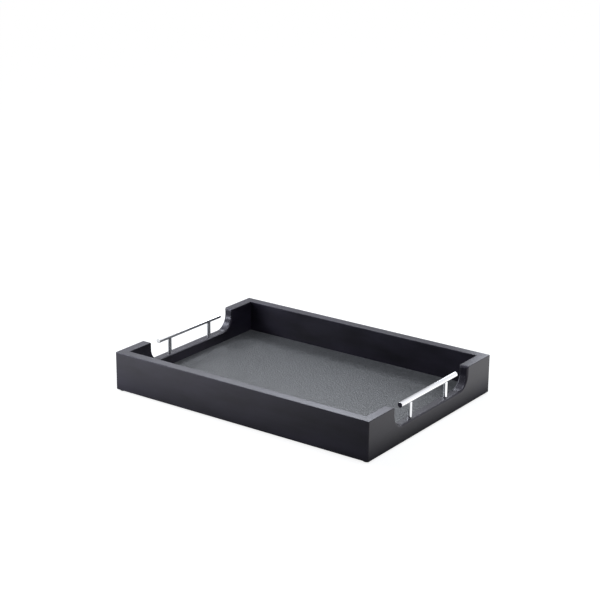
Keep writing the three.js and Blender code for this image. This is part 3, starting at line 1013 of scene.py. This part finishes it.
def pale_floor():
    material = bpy.data.materials.new("pale_floor")
    material.use_nodes = True
    tree = material.node_tree
    tree.nodes.clear()
    diffuse = tree.nodes.new("ShaderNodeBsdfDiffuse")
    diffuse.inputs["Color"].default_value = (FLOOR_ALBEDO, FLOOR_ALBEDO, FLOOR_ALBEDO, 1)
    lift = tree.nodes.new("ShaderNodeEmission")
    together = tree.nodes.new("ShaderNodeAddShader")
    output = tree.nodes.new("ShaderNodeOutputMaterial")
    tree.links.new(floor_glow(tree), lift.inputs["Strength"])
    tree.links.new(diffuse.outputs[0], together.inputs[0])
    tree.links.new(lift.outputs[0], together.inputs[1])
    tree.links.new(together.outputs[0], output.inputs["Surface"])
    return material


floor_shape = bmesh.new()
bmesh.ops.create_grid(floor_shape, x_segments=1, y_segments=1, size=FLOOR_SIZE / 2)
floor = bpy.data.objects.new("studio_floor", to_mesh(floor_shape, "studio_floor"))
floor.data.materials.append(pale_floor())
floor.location.z = -FLOOR_DROP
bpy.context.scene.collection.objects.link(floor)
print(f"Floor {FLOOR_SIZE:.0f} m wide, {FLOOR_DROP / MM:.2f} mm under the pads")

# %% [markdown]
# ### What the polished steel mirrors
# Steel shows little but its surroundings, so these matter as much as its own finish. Behind the tray is the
# white backdrop, brightest to the right. The photographer's side of the room is dim, and so is most of the
# floor there, and that draws the dark bands along the bars and posts. One plain white all round would
# make them look like white plastic. The world only fills mirrors and the background: it lights nothing.

# %% White surroundings
BACKDROP_WAY = (-0.584, 0.812, 0.0)  # from the tray towards the backdrop
BACKDROP_COLOUR = (0.95, 0.96, 1.0, 1)
CAMERA_WHITE = 1.0
WORLD_LIGHT = 0.0
# Each ramp is the level where it starts, the level where it ends, and those two parts of a direction.
LEFT_TO_RIGHT = (0.66, 1.05, -0.3, 0.2)
FRONT_TO_BACK = (0.35, 1.0, -0.3, 0.3)

world = bpy.data.worlds.new("white_room")
bpy.context.scene.world = world
world.use_nodes = True
room = world.node_tree
direction = room.nodes.new("ShaderNodeTexCoord").outputs["Generated"]
sideways = room.nodes.new("ShaderNodeSeparateXYZ")
room.links.new(direction, sideways.inputs["Vector"])
towards = room.nodes.new("ShaderNodeVectorMath")
towards.operation = "DOT_PRODUCT"
towards.inputs[1].default_value = BACKDROP_WAY
room.links.new(direction, towards.inputs[0])
backdrop_level = spread(room, sideways.outputs["X"], *LEFT_TO_RIGHT)
dim_share = spread(room, towards.outputs["Value"], *FRONT_TO_BACK)
mirror_level = combine(room, "MULTIPLY", backdrop_level, dim_share)
backdrop = room.nodes["Background"]
backdrop.inputs["Color"].default_value = BACKDROP_COLOUR
strength = seen_directly(room, CAMERA_WHITE, mirror_level, WORLD_LIGHT)
room.links.new(strength, backdrop.inputs["Strength"])
print("In mirrors the backdrop's level runs from", LEFT_TO_RIGHT[0], "to", LEFT_TO_RIGHT[1])

# %% [markdown]
# ### Lamps
# A glossy black object is lit by what it reflects, so each softbox is placed for the face that mirrors it.
# Those behind the tray draw the sheen on the rails' tops, the ledges and the liner. Those above lift the
# liner and throw the soft shadow under the tray. Those on the left light the front and the inner
# faces of the walls. One big lamp could not do this: the sheen would be the same everywhere.

# %% Lamps
COOL = (0.88, 0.93, 1.0)
CENTRE = (0.0, 0.0, 0.0)
LINER_MIDDLE = (0.0, 0.0, 0.03)
RAIL_TOPS = (0.0, 0.0, 0.05)
FRONT_LEFT = (-0.2, -0.16, 0.03)
WIDE = (0.3, 0.2)
SQUARE = (0.42, 0.42)


def softbox(name, place, aim, size, brightness):
    """A lamp that looks at a point. Its power grows with its area, so a brightness looks alike on each."""
    width, height = size
    lamp = bpy.data.lights.new(name, "AREA")
    lamp.shape = "RECTANGLE"
    lamp.size = width
    lamp.size_y = height
    lamp.energy = brightness * math.pi * width * height
    lamp.color = COOL
    box = bpy.data.objects.new(name, lamp)
    facing = (Vector(place) - Vector(aim)).to_track_quat("Z", "Y")
    box.matrix_world = Matrix.Translation(place) @ facing.to_matrix().to_4x4()
    box.visible_camera = False
    bpy.context.scene.collection.objects.link(box)
    return box


lamps = [
    softbox("near_back", (-0.20, 0.40, 0.44), aim=RAIL_TOPS, size=(0.28, 0.15), brightness=5.4),
    softbox("strip_left", (-0.75, 0.62, 0.62), aim=RAIL_TOPS, size=WIDE, brightness=4.5),
    softbox("strip_right", (-0.45, 0.62, 0.62), aim=RAIL_TOPS, size=WIDE, brightness=3.0),
    softbox("back_fill", (0.10, 0.60, 0.30), aim=RAIL_TOPS, size=WIDE, brightness=4.0),
    softbox("far_left", (-1.0, -0.3, 0.7), aim=LINER_MIDDLE, size=(0.5, 0.4), brightness=14.0),
    softbox("top_left", (-0.60, 0.0, 0.95), aim=CENTRE, size=SQUARE, brightness=4.2),
    softbox("top_right", (0.30, 0.0, 0.95), aim=CENTRE, size=SQUARE, brightness=10.0),
    softbox("left_low", (-0.62, -0.64, 0.09), aim=FRONT_LEFT, size=(0.5, 0.16), brightness=13.0),
]
bpy.context.scene.view_settings.view_transform = "Standard"
print(len(lamps), "lamps, together", round(sum(lamp.data.energy for lamp in lamps), 2), "W")
